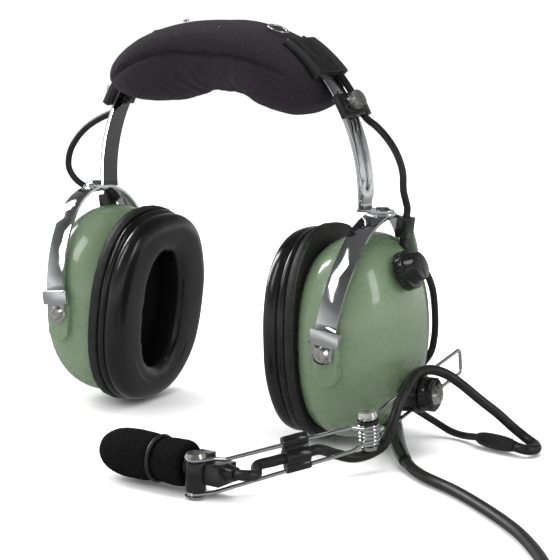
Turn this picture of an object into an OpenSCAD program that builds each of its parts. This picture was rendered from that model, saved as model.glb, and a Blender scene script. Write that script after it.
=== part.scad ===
// Aviation headset: two ear cups on a sprung headband, with a wire boom microphone.
// Millimetres, +Z up. X runs from ear to ear, and -Y is the front. It stands on both cups.

/* [Headband] */
// Radius of the sprung headband strip
arch_r = 84; // [80:0.5:90]
// Height of the centre of the headband arc above the surface
arch_z = 122.6; // [122.6:0.1:130]
// Width of the steel strips
strip_w = 12; // [10:0.5:14]
// Thickness of the steel strips
strip_t = 0.9; // [0.7:0.1:1.1]
// Width of the head pad from front to back
pad_w = 62; // [50:1:70]
// Thickness of the head pad at its middle
pad_h = 37; // [33:1:38]

/* [Cups] */
// Height of the pivot axis of the right cup
pivot_z = 52.3; // [52.3:0.1:56]
// Half the distance between the two pivot screws of a cup
pivot_y = 45.8; // [45.6:0.1:47]
// Depth of a dome outside its pivot axis
dome_d = 27; // [24:0.5:27]
// Half of the height of a dome
dome_a = 51; // [48:0.5:52]
// Half of the width of a dome
dome_b = 42.5; // [40:0.5:43]
// Wall of a dome
dome_wall = 2.4; // [2:0.2:3]
// Half of the height of an ear seal
seal_a = 54; // [53:0.5:54]
// Half of the width of an ear seal
seal_b = 43.2; // [42:0.2:44]
// Lean of the left cup's top towards the head, in degrees
tilt_left = 6.2; // [0:0.2:8]
// Lean of the right cup's top towards the head, in degrees
tilt_right = 1.2; // [0:0.2:8]
// Turn of both cups about the vertical, in degrees
swivel = 5.5; // [0:0.5:8]

/* [Microphone boom] */
// Length of the rear boom wires
boom_l = 104.5; // [95:0.5:110]
// Diameter of the boom wire
wire_d = 1.9; // [1.6:0.1:2]
// Length of the foam windscreen
foam_l = 52; // [45:1:55]
// Diameter of the foam windscreen
foam_d = 22.6; // [20:0.2:23]

/* [Cords] */
// Diameter of the main cord
main_d = 5.2; // [5:0.1:5.4]
// Diameter of the microphone cord
mic_d = 5; // [4.6:0.1:5]
// Diameter of the thin cords to the plug and over the head
thin_d = 3.6; // [3.2:0.1:3.8]

/* [Hidden] */
// Middle of the headset's footprint, measured from the middle of the headband
origin_x = 6;
origin_y = -39.5;
$fn = 48;

// Radii of the arc: the slotted strip is outside, the arms slide along its inner face
strip_r0 = arch_r;
strip_r1 = arch_r + strip_t;
arm_r1 = arch_r - 0.15;
arm_r0 = arm_r1 - strip_t;
// Angles along the arc, from the horizontal
strip_end = 1.5;
slot_low = 3.5;
slot_high = 35.5;
screw_at = 31;
arm_top = 34.5;
pad_end = 35.5;
sleeve_low = 43;
sleeve_high = 60;
slot_r = 2.2;
// The left arm is pushed in a little more than the right one
reach_left = -1.25;
reach_right = 0;
// Foot plate of each arm, and the rivet that the stirrup turns on
foot_z = 115.4;
foot_t = 1.2;
// The crossover cord lies beside the strip
cord_r = strip_r1 + 1.3;
cord_y = strip_w / 2 + thin_d / 2 + 0.4;
rivet_x = 93.5;
rivet_r = 2;
pivot_in = 8.2;
// Stirrup
yoke_t = 1.6;
yoke_w = 11;
bow_r = 75;
plate_t = 1.6;
plate_top = foot_z - 0.25;
screw_r = 1.9;
bolt_r = 2.2;
boot_d = 10.4;
// Cup stations along its own axis, outwards from the pivot axis
rim_u = -18;
plate_u = -22.8;
bulge_u = -3;
face_u = -38;
seal_mid = 2.3;
dome_mid = 1.5;
dome_lift = 0.15;
open_a = 31.5;
open_b = 17;
open_mid = 1.6;
sides = 36;
// Volume control
knob_at = [23.4, -6.5, 35];
knob_rise = 22;
// Boom, in the right cup's own frame
boom_at = [28.4, -2, -25.3];
boom_slope = 7;
leg_gap = 12.4;
leg_front = 53;
post_r = 2.4;
bend_r = 2.5;
core_r = 3.45;
eye_r = post_r + 0.05 + wire_d / 2;
coil_wire = 0.9;
coil_r = core_r + 0.05 + coil_wire;
coil_levels = [-4.2, -2.44, -0.68, 1.08, 2.84];
// Microphone pivot, in the headset's frame
mic_at = [75.5, -126, 9.8];
eye_z = 7.7;
barrel_h = 13.1;
barrel_r = 4.7;
foam_y = 6;
foam_z = 2.6;
// Where the clip sits between the hinge and the microphone, and the cord's place in it
clip_share = 0.45;
clip_l = 12;
cord_drop = 1.4;

// Moves the headset so that its origin is under its middle, on the surface
module place() {
    translate([-origin_x, -origin_y, 0]) children();
}

// Draws for one side: 1 is the right of the model (+X), -1 its mirror image
module on_side(side) {
    if (side < 0) mirror([1, 0, 0]) children();
    else children();
}

// Turns about the centre of the headband arc, as an arm does when it slides
module slid(side) {
    reach = side < 0 ? reach_left : reach_right;
    place() on_side(side) translate([0, 0, arch_z]) rotate([0, reach, 0]) translate([0, 0, -arch_z])
        children();
}

// Frame of a stirrup: it swivels on the vertical rivet of its arm's foot
module swivelled(side) {
    slid(side) translate([rivet_x, 0, 0]) rotate([0, 0, side * swivel]) translate([-rivet_x, 0, 0])
        children();
}

// Frame of a cup: +X outwards along its own axis, with its pivot axis along Y through the origin
module cup_frame(side) {
    tilt = side < 0 ? tilt_left : tilt_right;
    swivelled(side) translate([rivet_x - pivot_in, 0, pivot_z]) rotate([0, -tilt, 0]) children();
}

// Part of a band bent round the headband arc, from angle a0 to a1
module arc_band(r0, r1, w, a0, a1, y = 0) {
    translate([0, y, arch_z]) rotate([90, 0, 0]) rotate([0, 0, a0])
        rotate_extrude(angle = a1 - a0, $fn = 180) translate([r0, -w / 2]) square([r1 - r0, w]);
}

// Stands children on the headband arc at an angle, with +Z outwards along the radius
module on_arc(a, r, y = 0) {
    translate([0, y, arch_z]) rotate([0, 90 - a, 0]) translate([0, 0, r]) children();
}

// Round bar between two points
module bar(p, q, r) {
    v = q - p;
    h = norm(v);
    translate(p) rotate([0, acos(v[2] / h), atan2(v[1], v[0])]) cylinder(r = r, h = h, $fn = 24);
}

// Bent wire through a list of points
module wire(points, r) {
    for (i = [0 : len(points) - 2]) bar(points[i], points[i + 1], r);
    for (i = [1 : len(points) - 2]) translate(points[i]) sphere(r = r + 0.02, $fn = 24);
}

// Ring of tube round Z
module torus(ring_r, r) {
    rotate_extrude($fn = 48) translate([ring_r, 0]) circle(r = r, $fn = 24);
}

// Point number i of n round a rounded upright outline, half-height a and half-width b
function outline_point(i, n, a, b, p, mid) =
    let (t = 360 * i / n, c = cos(t), s = sin(t))
    [b * sign(c) * pow(abs(c), 2 / p), mid + a * sign(s) * pow(abs(s), 2 / p)];
function outline(a, b, p = 2.35, mid = 0, n = sides) =
    [for (i = [0 : n - 1]) outline_point(i, n, a, b, p, mid)];
function station(u, a, b, p, mid) = [for (q = outline(a, b, p, mid)) [u, q[0], q[1]]];

// Skin through rings of points. The ends are capped, or joined to each other when closed is true
module skin(rings, closed = false) {
    n = len(rings[0]);
    m = len(rings);
    last = closed ? m - 1 : m - 2;
    sides_faces = [
        for (k = [0 : last], i = [0 : n - 1])
            let (a = k * n + i, b = k * n + (i + 1) % n)
            let (c = ((k + 1) % m) * n + (i + 1) % n, d = ((k + 1) % m) * n + i)
            each [[a, b, c], [a, c, d]]
    ];
    caps = closed ? [] : [[for (i = [n - 1 : -1 : 0]) i], [for (i = [0 : n - 1]) (m - 1) * n + i]];
    polyhedron(points = [for (r = rings) each r], faces = concat(sides_faces, caps), convexity = 6);
}

// Round tube swept along a route, with its own side count
function unit(v) = v / norm(v);
function way(p, i) =
    i == 0 ? unit(p[1] - p[0])
    : i == len(p) - 1 ? unit(p[i] - p[i - 1])
    : unit(unit(p[i + 1] - p[i]) + unit(p[i] - p[i - 1]));
function carried(side, w) = unit(side - w * (side * w));
function side_at(p, i) =
    i == 0 ? carried(abs(way(p, 0)[2]) > 0.9 ? [1, 0, 0] : [0, 0, 1], way(p, 0))
    : carried(side_at(p, i - 1), way(p, i));
function ring_at(p, i, r, n) =
    let (w = way(p, i), s = side_at(p, i), t = cross(w, s))
    [for (k = [0 : n - 1]) p[i] + r * (cos(360 * k / n) * s + sin(360 * k / n) * t)];
module tube(route, d, d_end = 0, n = 8) {
    m = len(route) - 1;
    end = d_end == 0 ? d : d_end;
    skin([for (i = [0 : m]) ring_at(route, m - i, (d + (end - d) * (m - i) / m) / 2, n)]);
}

// ---- Headband ----

module headband_strip() {
    color("silver") place() difference() {
        union() {
            arc_band(strip_r0, strip_r1, strip_w, strip_end, 180 - strip_end);
            for (side = [1, -1]) on_side(side) translate([0, 0, arch_z]) rotate([0, 90 - strip_end, 0])
                translate([0, 0, strip_r0]) cylinder(r = strip_w / 2 - 0.05, h = strip_t);
        }
        for (side = [1, -1]) on_side(side) {
            arc_band(strip_r0 - 1, strip_r1 + 1, 2 * slot_r - 0.1, slot_low, slot_high);
            for (a = [slot_low, slot_high]) on_arc(a, arch_r - 3) cylinder(r = slot_r, h = 6);
        }
    }
}

// Section of the pad at an angle along the arc: thick at the middle, rounded off at both ends
function pad_share(a) = abs(90 - a) / (90.5 - pad_end);
function pad_top(a) = strip_r1 + 2 + (a > 90 ? 13 * pow(pad_share(a), 2.6) : 0);
function pad_ring(a) =
    let (s = pad_share(a), round_off = pow(1 - pow(s, 6), 0.4))
    let (r1 = pad_top(a), h = (pad_h / 2) * (1 - 0.34 * s * s))
    let (half = pad_w / 2 * round_off)
    let (mid = r1 - h * (0.75 + 0.25 * round_off))
    [for (q = outline(h * round_off, half, 2.7, mid, 24)) [q[1] * cos(a), q[0], arch_z + q[1] * sin(a)]];

module head_pad() {
    color("#1c1b20") place() difference() {
        skin([for (a = [pad_end : 5.35 : 180 - pad_end]) pad_ring(a)]);
        arc_band(strip_r0 - 1.1, strip_r1 + 0.05, strip_w + 0.4, pad_end - 12, 192 - pad_end);
        arc_band(strip_r0 - 0.6, strip_r1 + 3.4, thin_d + 0.4, pad_end - 12, 192 - pad_end, cord_y);
        for (side = [1, -1]) on_side(side)
            arc_band(strip_r0 - 1.5, strip_r1 + (side > 0 ? 9 : 4.8), strip_w + 13,
                     pad_end - 12, sleeve_high + 0.5, 1);
    }
}

// Press snaps along the pad's closing flap, and the large ring snap near its right end
module pad_snaps() {
    color("silver") place() {
        for (a = [118, 104]) on_arc(a, pad_top(a) + 0.1, -8) cylinder(r = 1.6, h = 0.9);
        on_arc(68, pad_top(68) + 0.65, -2) torus(5, 0.6);
    }
}

// Ribbed rubber sleeve over the strip and the cord, at each end of the pad
module sleeve(side) {
    color("#26262a") place() on_side(side) difference() {
        union() {
            arc_band(strip_r0 - 1.3, strip_r1 + 4, strip_w + 11.4, sleeve_low, sleeve_high, 1.4);
            for (y = [-5.6, -2.8, 0, 2.8, 5.6])
                arc_band(strip_r1 + 3.5, strip_r1 + 4.5, 1.3, sleeve_low + 0.8, sleeve_high - 0.8, y);
        }
        arc_band(strip_r0 - 0.02, strip_r1 + 0.02, strip_w + 0.04, sleeve_low - 1, sleeve_high + 1);
        arc_band(strip_r0 - 0.3, strip_r1 + 3.2, thin_d + 0.2, sleeve_low - 1, sleeve_high + 1, cord_y);
    }
}

// Middle of the cord between the two cups, inside the pad
module crossover_top() {
    color("#161616") place() tube([for (a = [66 : 8 : 114]) arc_point(a)], thin_d);
}

// ---- Arms ----

function arc_point(a) = [cord_r * cos(a), cord_y, arch_z + cord_r * sin(a)];

module arm(side) {
    foot_a = asin((foot_z + foot_t / 3 - arch_z) / arm_r0);
    color("silver") slid(side) difference() {
        union() {
            arc_band(arm_r0, arm_r1, strip_w, foot_a, arm_top);
            on_arc(arm_top, arm_r0 - 0.25) cylinder(r = strip_w / 2 - 0.05, h = strip_t);
            // Foot, bent outwards over the stirrup
            translate([arm_r0 - 0.4, -strip_w / 2, foot_z])
                cube([rivet_x - arm_r0 + 0.4, strip_w, foot_t]);
            translate([rivet_x, 0, foot_z]) cylinder(r = strip_w / 2 - 0.05, h = foot_t);
            // Pressed boss with the threaded stud that the thumb nut runs on
            on_arc(screw_at, arm_r0 - 1.3) {
                cylinder(r = 4, h = 1.6);
                cylinder(r = screw_r, h = 10.2);
            }
            // Lanced tab that runs in the slot of the strip
            arc_band(arm_r1 - 0.3, strip_r1 - 0.1, 3.6, 22.5, 26);
        }
        translate([rivet_x, 0, foot_z - 2]) cylinder(r = rivet_r, h = 5);
    }
}

// Knurled thumb nut that locks an arm in the slot, on the arm's stud
module thumb_screw(side) {
    color("silver") slid(side) on_arc(screw_at, strip_r1 + 4.1) difference() {
        cylinder(r = 4.5, h = 5);
        for (k = [0 : 17]) rotate([0, 0, 20 * k]) translate([4.7, 0, -1]) cylinder(r = 0.45, h = 8, $fn = 16);
        translate([0, 0, -1]) cylinder(r = screw_r + 0.06, h = 4.6);
        translate([-5, -0.5, 4.2]) cube([10, 1, 2]);
    }
}

// Block on the arm, outside the strip, that holds the crossover cord
module cord_clamp(side) {
    color("#1a1a1c") slid(side) difference() {
        arc_band(strip_r1 + 0.3, strip_r1 + 3.9, strip_w + 10, 26.6, 34.6, 1.2);
        on_arc(screw_at, arch_r) cylinder(r = screw_r + 0.3, h = 8);
        tube(loop_route(side), thin_d);
    }
}

// Rivet through the arm's foot that the stirrup swivels on
module foot_rivet(side) {
    color("silver") slid(side) translate([rivet_x, 0, 0]) {
        translate([0, 0, plate_top - plate_t - 1.1])
            cylinder(r = rivet_r, h = foot_z + foot_t + 1.2 - plate_top + plate_t);
        translate([0, 0, foot_z + foot_t]) cylinder(r1 = 4.4, r2 = 2.8, h = 1.4);
        translate([0, 0, plate_top - plate_t - 1.2]) cylinder(r = 3.4, h = 1);
    }
}

// ---- Stirrups ----

// The bow leans outwards to the rivet. Its sides are long arcs, joined by a tighter arc over the cup
lean = atan(pivot_in / (plate_top - plate_t - pivot_z));
bow_h = (plate_top - plate_t / 2 - pivot_z) / cos(lean) - yoke_t / 2;
bow_in = bow_r - pivot_y;
top_mid = (bow_in * bow_in - pow(bow_r - bow_h, 2)) / (2 * (bow_r - bow_h));
top_r = bow_h - top_mid;
join_a = atan(top_mid / bow_in);

module leaning() {
    translate([rivet_x - pivot_in, 0, pivot_z]) rotate([0, lean, 0]) children();
}

// One edge of the bow, in its own plane: X is +Y of the cup and Y is up
function bow_side(t, i) =
    let (a = -2 + (join_a + 2) * i / 10)
    [(bow_r + t) * cos(a) - bow_in, (bow_r + t) * sin(a)];
function bow_top(t, i) =
    let (a = join_a + (180 - 2 * join_a) * i / 30)
    [(top_r + t) * cos(a), top_mid + (top_r + t) * sin(a)];
function bow_edge(t) = concat(
    [for (i = [0 : 9]) bow_side(t, i)],
    [for (i = [0 : 30]) bow_top(t, i)],
    [for (i = [9 : -1 : 0]) [-bow_side(t, i)[0], bow_side(t, i)[1]]]
);
function reversed(list) = [for (i = [len(list) - 1 : -1 : 0]) list[i]];

module stirrup(side) {
    color("silver") swivelled(side) difference() {
        union() {
            leaning() {
                translate([-yoke_w / 2, 0, 0]) rotate([90, 0, 90]) linear_extrude(yoke_w)
                    polygon(concat(bow_edge(yoke_t), reversed(bow_edge(0))));
                for (y = [-1, 1]) tab(y);
            }
            translate([rivet_x, 0, plate_top - plate_t]) cylinder(r = 7, h = plate_t);
        }
        translate([rivet_x, 0, plate_top - 10]) cylinder(r = rivet_r + 0.05, h = 12);
        translate([rivet_x - pivot_in, -60, pivot_z]) rotate([-90, 0, 0])
            cylinder(r = screw_r + 0.06, h = 120);
        translate([rivet_x, 0, plate_top]) cylinder(r = 12, h = 5);
        translate([rivet_x, 0, plate_top - plate_t - 3]) cylinder(r = 4.2, h = 3);
    }
}

// End of a stirrup: a widened tab with an ear, and the round end that carries the pivot screw
module tab(y) {
    translate([-yoke_w / 2, y > 0 ? pivot_y : -pivot_y - yoke_t, 0]) {
        cube([yoke_w, yoke_t, 10]);
        translate([-2, 0, 4.5]) cube([yoke_w + 4.5, yoke_t, 7]);
        translate([yoke_w + 1.1, y > 0 ? -1.5 : 0, 4.5]) cube([1.4, yoke_t + 1.5, 7]);
    }
    translate([0, y * (pivot_y + yoke_t / 2), 0]) rotate([90, 0, 0])
        cylinder(r = yoke_w / 2, h = yoke_t, center = true);
}

// Clip on the outboard edge of a stirrup that holds the crossover cord
clip_half = 5;
function clip_y(side) = side < 0 ? 21 : 9;
function clip_w(side) = side < 0 ? 52 : 57;
clip_u = yoke_w / 2 + 3.2;

module cord_clip(side) {
    color("#161618") swivelled(side) leaning() difference() {
        translate([yoke_w / 2, clip_y(side) - 4, clip_w(side) - clip_half]) cube([6.4, 8, 2 * clip_half]);
        translate([clip_u, clip_y(side), clip_w(side) - 10]) cylinder(r = thin_d / 2, h = 20);
    }
}

// A point on the clip's bore in the arm's frame, and in the cup's own frame
function turned(p, a) = [p[0] * cos(a) + p[2] * sin(a), p[1], p[2] * cos(a) - p[0] * sin(a)];
function clip_on_arm(side, w) =
    let (p = turned([clip_u, clip_y(side), w], lean), x = p[0] - pivot_in, a = side * swivel)
    [rivet_x + x * cos(a) - p[1] * sin(a), x * sin(a) + p[1] * cos(a), pivot_z + p[2]];
function clip_on_cup(side, w) =
    turned([clip_u, clip_y(side), w], lean + (side < 0 ? tilt_left : tilt_right));

// The cord from inside the pad, through the sleeve and the clamp, then in a free loop to the clip
loop_right = [
    [79, 7.5, 160.5], [85.5, 7, 156.5], [92.5, 6.5, 150.5], [98, 6, 143.5], [101.3, 6, 135],
    [101.5, 6.5, 126],
];
loop_left = [
    [79.5, 8, 159.5], [87, 7, 155.5], [96, 6, 151.5], [105, 6, 146.5], [113, 6, 139.5], [118.5, 6, 131],
    [120, 7, 122], [116, 10, 114.5], [109, 15, 110.5],
];
function loop_route(side) = concat(
    [for (a = [62, 56, 49.5, 43, 37, 31.5]) arc_point(a)],
    side < 0 ? loop_left : loop_right,
    [for (w = [9, clip_half, 0]) clip_on_arm(side, clip_w(side) + w)]
);

module crossover(side) {
    color("#161616") slid(side) tube(loop_route(side), thin_d);
}

// The cord from the clip down the back of the dome and into it
function drop_route(side) = concat(
    [for (w = [0, -clip_half, -9]) clip_on_cup(side, clip_w(side) + w)],
    [[20.5, 20, 35], [23, 26.5, 24], [22.5, 31.5, 10], [20.5, 35, -4], [17, 37, -14], [12, 34, -21],
     [6, 30, -25]]
);

module cup_cord(side) {
    color("#161616") cup_frame(side) tube(drop_route(side), thin_d);
}

// ---- Cups ----

module cup_part(side, tint) {
    color(tint) cup_frame(side) children();
}

function dome_scale(u, depth) =
    u < bulge_u ? 1 - 0.09 * pow((bulge_u - u) / (bulge_u - rim_u), 2)
    : pow(max(0, 1 - pow((u - bulge_u) / (depth - bulge_u), 2.2)), 1 / 2.2);
function dome_ring(u, wall) =
    let (k = dome_scale(u, dome_d - wall), mid = dome_mid + dome_lift * (u - bulge_u))
    station(u, (dome_a - wall) * k, (dome_b - wall) * k, 2.3, mid);

// The dome's shape, thinner all round by the wall
module dome_solid(wall, u0) {
    depth = dome_d - wall - bulge_u;
    skin([
        dome_ring(bulge_u + depth * 0.998, wall),
        for (t = [80 : -10 : 10]) dome_ring(bulge_u + depth * sin(t), wall),
        for (u = [bulge_u, (u0 + bulge_u) / 2, u0]) dome_ring(u, wall)
    ]);
}

// Moulded pad on the dome's side for a pivot screw
module boss(y) {
    translate([0, y * 38, 0]) rotate([y * -90, 0, 0]) {
        cylinder(r = 6.5, h = pivot_y - 38 - 0.5);
        translate([-6.5, y > 0 ? 0 : -10, 0]) cube([13, 10, pivot_y - 38 - 0.5]);
        translate([0, y * 10, 0]) cylinder(r = 6.5, h = pivot_y - 38 - 0.5);
    }
}

module dome(side) {
    color("#8da68a") difference() {
        cup_frame(side) difference() {
            union() {
                dome_solid(0, rim_u);
                for (y = [-1, 1]) boss(y);
            }
            dome_solid(dome_wall, rim_u - 1);
            translate([0, -60, 0]) rotate([-90, 0, 0]) cylinder(r = screw_r, h = 120);
            tube(drop_route(side), thin_d);
            if (side > 0) {
                knob_frame() translate([0, 0, -14]) cylinder(r = 3.6, h = 20);
                knob_frame() translate([0, 0, -0.4]) cylinder(r = 10.6, h = 20);
                translate([0, boom_at[1], boom_at[2]]) rotate([0, 90, 0]) cylinder(r = bolt_r + 0.06, h = 40);
            }
        }
        if (side > 0) place() {
            tube(boot_route, boot_d, main_d + 1, 12);
            tube(lead_route, thin_d);
        }
    }
}

// Two screws, front and back, that the stirrup tilts on
module pivot_screws(side) {
    cup_part(side, "silver") for (y = [-1, 1]) rotate([y * -90, 0, 0]) {
        translate([0, 0, 36]) cylinder(r = screw_r, h = pivot_y + yoke_t + 0.2 - 36);
        translate([0, 0, pivot_y + yoke_t + 0.15]) difference() {
            cylinder(r1 = 4, r2 = 3, h = 1.9);
            for (a = [0, 90]) rotate([0, 0, a]) translate([-1.8, -0.35, 0.9]) cube([3.6, 0.7, 2]);
        }
    }
}

// Black plate that closes the dome and carries the seal
module seal_plate(side) {
    cup_part(side, "#141414") difference() {
        union() {
            plate_slab(plate_u, rim_u - plate_u, seal_a, seal_b - 0.3, seal_mid);
            plate_slab(rim_u - 0.01, 3, dome_a * 0.9 - dome_wall, dome_b * 0.9 - dome_wall, dome_mid - 2.2);
        }
        plate_slab(plate_u - 1, 12, open_a + 2, open_b + 3, open_mid);
    }
}

// Slab of the cup's outline, h deep, from station u outwards
module plate_slab(u, h, a, b, mid) {
    translate([u, 0, 0]) rotate([90, 0, 90]) linear_extrude(h) polygon(outline(a, b, 2.35, mid));
}

// Soft vinyl ring against the head
module ear_seal(side) {
    cup_part(side, "#101010") skin([
        station(plate_u, seal_a - 4.2, seal_b - 3.2, 2.35, seal_mid),
        station(plate_u - 2, seal_a - 3.4, seal_b - 1.2, 2.35, seal_mid),
        station(-30, seal_a - 2.3, seal_b, 2.35, seal_mid),
        station(-34, seal_a - 2.4, seal_b - 0.2, 2.35, seal_mid),
        station(face_u + 1, seal_a - 5.5, seal_b - 4, 2.4, seal_mid),
        station(face_u, seal_a - 11, seal_b - 11, 2.45, seal_mid),
        station(face_u + 0.6, open_a + 4, open_b + 4, 2.5, open_mid),
        station(face_u + 3, open_a + 0.6, open_b + 0.6, 2.6, open_mid),
        station(face_u + 6, open_a, open_b, 2.6, open_mid),
        station(plate_u, open_a + 1, open_b + 1, 2.6, open_mid),
    ], true);
}

// Acoustic foam behind the opening
module ear_foam(side) {
    cup_part(side, "#0c0c0c") plate_slab(-21.5, 3, open_a + 1.9, open_b + 2.9, open_mid);
}

module earphone(side) {
    cup_part(side, "#3a3a3a") translate([-18.3, 0, open_mid]) rotate([0, 90, 0]) {
        cylinder(r = 17.5, h = 4);
        translate([0, 0, 4]) cylinder(r = 12, h = 5);
    }
}

// ---- Volume control, on the right cup ----

module knob_frame() {
    translate(knob_at) rotate([0, 90 - knob_rise, 0]) children();
}

module volume_pot() {
    cup_part(1, "#6a6a64") knob_frame() difference() {
        union() {
            translate([0, 0, -15]) cylinder(r = 6.2, h = 7);
            translate([0, 0, -9]) cylinder(r = 3.5, h = 8.5);
            translate([0, 0, -0.35]) cylinder(r = 5.6, h = 0.6, $fn = 6);
        }
        translate([0, 0, -12.1]) cylinder(r = 1.6, h = 14);
    }
}

module pot_shaft() {
    cup_part(1, "silver") knob_frame() translate([0, 0, -12]) cylinder(r = 1.55, h = 19.4);
}

module volume_knob() {
    cup_part(1, "#101012") knob_frame() translate([0, 0, 0.4]) difference() {
        union() {
            cylinder(r = 9.8, h = 5);
            translate([0, 0, 4.9]) cylinder(r1 = 7.8, r2 = 6.8, h = 5.6);
        }
        for (k = [0 : 23]) rotate([0, 0, 15 * k]) translate([10.1, 0, -1]) cylinder(r = 0.7, h = 5, $fn = 16);
        translate([0, 0, -1]) cylinder(r = 1.55, h = 8);
        translate([2, -0.5, 9.9]) cube([6, 1, 2]);
    }
}

// ---- Boom, on the right cup ----

module boom_frame() {
    cup_frame(1) translate([0, boom_at[1], boom_at[2]]) rotate([0, 90, 0]) rotate([0, 0, 90]) children();
}

// Ribbed collar on the dome
module boom_base() {
    color("#121214") boom_frame() difference() {
        union() {
            translate([0, 0, 16]) cylinder(r = 9.2, h = 8.7);
            for (z = [18, 20.2, 22.4]) translate([0, 0, z]) torus(9.2, 0.5);
        }
        translate([0, 0, 10]) cylinder(r = bolt_r + 0.06, h = 20);
        rotate([0, 0, -90]) rotate([0, -90, 0]) translate([0, -boom_at[1], -boom_at[2]])
            dome_solid(0, rim_u);
    }
}

// Bolt from inside the dome through the collar, the clamp and its knob
module boom_bolt() {
    color("silver") boom_frame() {
        translate([0, 0, 11]) cylinder(r = bolt_r, h = 28);
        translate([0, 0, 11]) cylinder(r = 4.4, h = 2.4, $fn = 6);
        translate([0, 0, 38.7]) difference() {
            cylinder(r1 = 5, r2 = 4, h = 1.9);
            for (a = [0, 90]) rotate([0, 0, a]) translate([-2.4, -0.45, 1]) cube([4.8, 0.9, 2]);
        }
    }
}

// Turning block that grips the two rear wires
module boom_clamp() {
    color("#121214") boom_frame() difference() {
        translate([0, 0, 25]) cylinder(r = 9.6, h = 6.4);
        translate([0, 0, 20]) cylinder(r = bolt_r, h = 20);
        for (s = [-1, 1]) rotate([0, 0, boom_slope]) translate([-20, s * leg_gap / 2, boom_at[0]])
            rotate([0, 90, 0]) cylinder(r = wire_d / 2 + 0.05, h = 40);
    }
}

module clamp_knob() {
    color("#101012") boom_frame() difference() {
        union() {
            translate([0, 0, 31.7]) cylinder(r = 8.4, h = 6.2);
            translate([0, 0, 31.7]) cylinder(r = 7.4, h = 7);
        }
        for (k = [0 : 19]) rotate([0, 0, 18 * k]) translate([8.8, 0, 30]) cylinder(r = 0.6, h = 6, $fn = 16);
        translate([0, 0, 30]) cylinder(r = bolt_r + 0.06, h = 12);
    }
}

// Frame of the rear wires: +X towards the front, +Y up across the wires, +Z outwards
module rear_frame() {
    boom_frame() translate([0, 0, boom_at[0]]) rotate([0, 0, boom_slope]) mirror([1, 0, 0]) children();
}

// Frame of the hinge between the two pairs of wires, with its post along +Y
module hinge_frame() {
    rear_frame() translate([leg_front, 0, 0]) children();
}

// Hairpin of chromed wire, with an eye round the hinge post at each end
module rear_wire() {
    back = leg_front - boom_l;
    r = wire_d / 2;
    half = leg_gap / 2;
    color("silver") rear_frame() {
        translate([back, -half + bend_r, 0]) rotate([-90, 0, 0]) cylinder(r = r, h = leg_gap - 2 * bend_r);
        for (s = [-1, 1]) {
            translate([back + bend_r, s * (half - bend_r), 0]) rotate([0, 0, s > 0 ? 90 : 180])
                rotate_extrude(angle = 90) translate([bend_r, 0]) circle(r = r, $fn = 24);
            translate([back + bend_r, s * half, 0]) rotate([0, 90, 0])
                cylinder(r = r, h = boom_l - bend_r - eye_r);
            translate([leg_front, s * half, 0]) rotate([90, 0, 0]) torus(eye_r, r);
        }
    }
}

module hinge_post() {
    color("silver") hinge_frame() rotate([-90, 0, 0]) {
        translate([0, 0, -7.4]) cylinder(r = post_r, h = 14.8);
        translate([0, 0, -5.15]) cylinder(r = core_r, h = 10.3);
        translate([0, 0, 7.25]) difference() {
            cylinder(r1 = 4.9, r2 = 4.2, h = 2.2);
            for (a = [0, 90]) rotate([0, 0, a]) translate([-2, -0.4, 1.3]) cube([4, 0.8, 2]);
        }
        translate([0, 0, -9.2]) cylinder(r1 = 3.8, r2 = 4.6, h = 1.95);
    }
}

module friction_washer() {
    color("#141414") hinge_frame() rotate([-90, 0, 0]) translate([0, 0, 4.15]) difference() {
        cylinder(r = 5.2, h = 1);
        translate([0, 0, -1]) cylinder(r = core_r, h = 4);
    }
}

// A point of the right cup's own frame, in the headset's frame
function cup_to_headset(p) =
    let (q = turned(p, -tilt_right), x = q[0] - pivot_in)
    [rivet_x + x * cos(swivel) - q[1] * sin(swivel), x * sin(swivel) + q[1] * cos(swivel), pivot_z + q[2]];
// A point on the hinge post's axis, h above the middle of the wires
function hinge_point(h) = cup_to_headset([
    boom_at[0],
    boom_at[1] - leg_front * cos(boom_slope) - h * sin(boom_slope),
    boom_at[2] - leg_front * sin(boom_slope) + h * cos(boom_slope)
]);
boom_way = unit(hinge_point(0) - mic_at);
boom_side = unit(cross(boom_way, [0, 0, 1]));
flat_way = unit([boom_way[0], boom_way[1], 0]);
// The front wires leave the coils and end in the eyes on their outboard side
function coil_exit(h, out, rise) =
    hinge_point(h) + (coil_r + 0.1) * boom_side - out * boom_way + [0, 0, rise];
function eye_entry(s, out, rise) =
    mic_at + (eye_r + 0.08) * boom_side + out * flat_way + [0, 0, s * (eye_z - rise)];
function front_leg(s, h) = [
    coil_exit(h, 0, 0), coil_exit(h, 5, 0), coil_exit(h, 11, s * 2.2),
    eye_entry(s, 13, 0.9), eye_entry(s, 7, 0), eye_entry(s, 0, 0),
];

// Two chromed wires: coiled round the hinge post, with an eye round the microphone pin
module front_wire() {
    color("silver") {
        hinge_frame() rotate([-90, 0, 0]) rotate_extrude($fn = 48)
            for (z = coil_levels) translate([coil_r, z]) circle(r = coil_wire, $fn = 24);
        place() {
            wire(front_leg(1, coil_levels[4]), wire_d / 2);
            wire(front_leg(-1, coil_levels[0]), wire_d / 2);
            for (s = [-1, 1]) translate(mic_at + [0, 0, s * eye_z]) torus(eye_r, wire_d / 2);
        }
    }
}

// Middle of the clip, halfway between the wires
clip_mid = (hinge_point(0) * (1 - clip_share) + mic_at * clip_share) + 3.8 * boom_side;

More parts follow.
